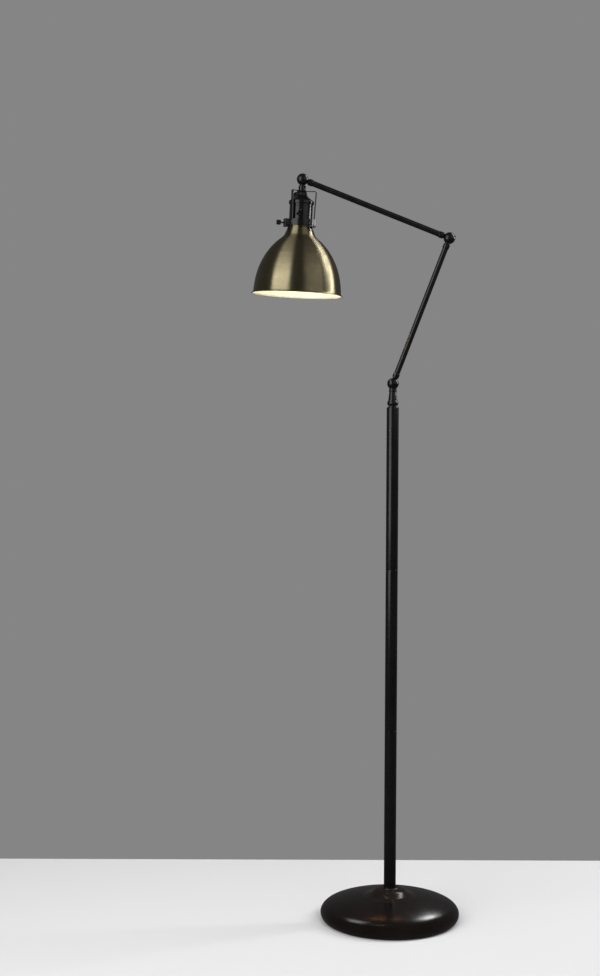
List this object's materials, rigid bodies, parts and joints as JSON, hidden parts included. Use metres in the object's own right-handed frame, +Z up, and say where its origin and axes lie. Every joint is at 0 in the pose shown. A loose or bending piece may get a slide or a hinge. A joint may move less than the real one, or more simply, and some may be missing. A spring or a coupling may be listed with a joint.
{
  "type": "adjustable arm floor lamp",
  "caption": "Floor lamp with a weighted round base, a tall pole, jointed arms on slotted ball knuckles and a bell-shaped metal shade in a strap holder.",
  "frame": {"origin": "centre of the base's underside, on the pole's axis, at floor level", "axes": "+Z up along the pole; the arms lie in the XZ plane, with the elbow towards +X and the shade towards -X; -Y is the front, where the turn key is"},
  "size_m": [0.4423, 0.2953, 1.565],
  "materials": {
    "bronze_black_paint": "satin near-black with a faint bronze cast",
    "cast_iron": "rough cast",
    "zinc_plated_steel": "zinc plated",
    "antique_brass": "aged satin brass",
    "plain_brass": "plain drawn brass",
    "black_rubber": "matt",
    "felt": "black felt",
    "phenolic": "moulded, satin",
    "fibre_liner": "matt fibre board",
    "cord_jacket": "satin jacket",
    "frosted_glass": "frosted inside, lit"
  },
  "bodies": {
    "stand": {"base_pad": "felt", "base_weight": "cast_iron", "base_cover": "bronze_black_paint", "cord_gland": "black_rubber", "base_stud": "zinc_plated_steel", "base_washer": "zinc_plated_steel", "base_nut": "zinc_plated_steel", "pole_hub": "bronze_black_paint", "pole_foot_plug": "zinc_plated_steel", "pole_lower": "bronze_black_paint", "pole_middle": "bronze_black_paint", "pole_upper": "bronze_black_paint", "coupler_lower": "zinc_plated_steel", "coupler_upper": "zinc_plated_steel", "pole_collar": "bronze_black_paint", "inner_cord": "cord_jacket"},
    "swivel": {"swivel_post": "bronze_black_paint", "lower_pivot_screw": "zinc_plated_steel", "lower_friction_washer": "plain_brass", "lower_lock_screw": "bronze_black_paint", "post_nut": "zinc_plated_steel"},
    "lower_arm": {"lower_arm_tang": "bronze_black_paint", "lower_arm_foot_ferrule": "bronze_black_paint", "lower_arm_tube": "bronze_black_paint", "lower_arm_top_ferrule": "bronze_black_paint", "lower_arm_lead": "cord_jacket", "elbow_ball": "bronze_black_paint", "elbow_pivot_screw": "zinc_plated_steel", "elbow_friction_washer": "plain_brass", "elbow_lock_screw": "bronze_black_paint"},
    "upper_arm": {"elbow_tang": "bronze_black_paint", "upper_arm_elbow_ferrule": "bronze_black_paint", "upper_arm_tube": "bronze_black_paint", "upper_arm_head_ferrule": "bronze_black_paint", "head_tang": "bronze_black_paint", "upper_arm_lead": "cord_jacket"},
    "head": {"head_ball": "bronze_black_paint", "head_pivot_screw": "zinc_plated_steel", "head_friction_washer": "plain_brass", "stem_sleeve": "bronze_black_paint", "strap_holder": "bronze_black_paint", "strap_rivet_right": "bronze_black_paint", "strap_rivet_front": "bronze_black_paint", "strap_rivet_back": "bronze_black_paint", "cap_lock_nut": "zinc_plated_steel", "socket_cap": "bronze_black_paint", "socket_shell": "bronze_black_paint", "socket_liner": "fibre_liner", "switch_block": "phenolic", "screw_shell": "plain_brass", "centre_contact": "plain_brass", "fitter_ring": "bronze_black_paint", "clamp_screw": "bronze_black_paint", "shade": "antique_brass", "bulb_cap": "zinc_plated_steel", "bulb_glass": "frosted_glass"},
    "turn_key": {"switch_key": "bronze_black_paint"},
    "shade_screw": {"thumbscrew": "bronze_black_paint"}
  },
  "joints": [
    {"name": "post_swivel", "type": "hinge", "parent": "stand", "child": "swivel", "pos_m": [0, 0, 1.082], "axis": [0, 0, 1], "range_deg": [-165, 165]},
    {"name": "lower_arm_tilt", "type": "hinge", "parent": "swivel", "child": "lower_arm", "pos_m": [0, 0, 1.131], "axis": [0, 1, 0], "range_deg": [-110.9, 69.1]},
    {"name": "elbow_tilt", "type": "hinge", "parent": "lower_arm", "child": "upper_arm", "pos_m": [0.11539, 0, 1.43301], "axis": [0, 1, 0], "range_deg": [-10, 189]},
    {"name": "head_tilt", "type": "hinge", "parent": "upper_arm", "child": "head", "pos_m": [-0.1899, 0, 1.55295], "axis": [0, -1, 0], "range_deg": [-215, 5]},
    {"name": "switch_turn", "type": "hinge", "parent": "head", "child": "turn_key", "pos_m": [-0.19312, 0, 1.48203], "axis": [-0.1217, -0.9925, 0.0055], "continuous": true},
    {"name": "shade_screw_turn", "type": "hinge", "parent": "head", "child": "shade_screw", "pos_m": [-0.19406, 0, 1.46125], "axis": [-0.9649, -0.2588, 0.0438], "continuous": true}
  ]
}
